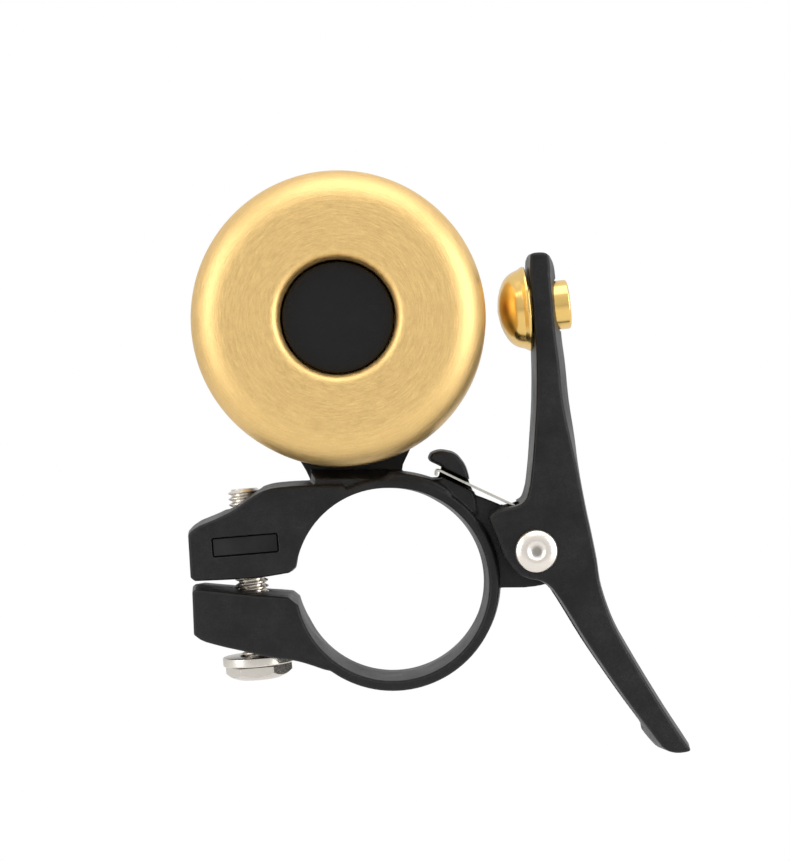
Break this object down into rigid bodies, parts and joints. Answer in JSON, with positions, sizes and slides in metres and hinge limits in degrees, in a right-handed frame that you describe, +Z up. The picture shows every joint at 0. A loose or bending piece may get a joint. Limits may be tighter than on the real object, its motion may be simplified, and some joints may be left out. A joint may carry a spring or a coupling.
{
  "type": "bicycle bell",
  "caption": "Handlebar bell: a brass dome on a moulded nylon clamp band, struck by a brass button on a sprung thumb lever.",
  "frame": {"origin": "centre of the handlebar bore, at the middle of the clamp band's width", "axes": "+Y along the handlebar, from the dome's crest side to the back plate side; +Z up from the handlebar to the dome; +X from the clamp screw to the lever's pivot"},
  "size_m": [0.0606, 0.02, 0.0694],
  "materials": {
    "bracket_nylon": "fine-grained black nylon",
    "lever_nylon": "fine-grained black nylon",
    "cap_nylon": "satin black",
    "dome_brass": "satin, brushed in circles",
    "striker_brass": "polished",
    "rubber": "matte",
    "spring_steel": "bright strip",
    "plain_steel": "zinc plated",
    "black_steel": "blackened",
    "nickel": "nickel plated"
  },
  "bodies": {
    "bracket": {"bracket_body": "bracket_nylon", "bell_dome": "dome_brass", "dome_cap": "cap_nylon", "dome_screw": "plain_steel", "dome_spring_washer": "plain_steel", "dome_flat_washer": "plain_steel", "dome_seat_washer": "rubber", "leaf_spring": "spring_steel", "clamp_nut": "black_steel", "pivot_rivet": "nickel", "pivot_washer": "plain_steel"},
    "lever": {"lever_arm": "lever_nylon", "striker": "striker_brass"},
    "clamp_washer": {"clamp_washer": "nickel"},
    "clamp_screw": {"clamp_screw": "nickel"}
  },
  "joints": [
    {"name": "lever_swing", "type": "hinge", "parent": "bracket", "child": "lever", "pos_m": [0.01695, -0.003, 0.00412], "axis": [0, 1, 0], "range_deg": [-2.6, 22], "stiffness_Nm_per_rad": 0.3, "deforming": ["leaf_spring"]},
    {"name": "clamp_screw_travel", "type": "slide", "parent": "bracket", "child": "clamp_washer", "axis": [0.0837, 0, -0.9965], "range_m": [0, 0.00735]},
    {"name": "clamp_screw_turn", "type": "hinge", "parent": "clamp_washer", "child": "clamp_screw", "pos_m": [-0.01715, 0, -0.0005], "axis": [0.0837, 0, -0.9965], "range_deg": [0, 3780]}
  ],
  "couplings": [
    {"joint": "clamp_screw_turn", "follows": "clamp_screw_travel", "rad_per_m": 8976}
  ]
}
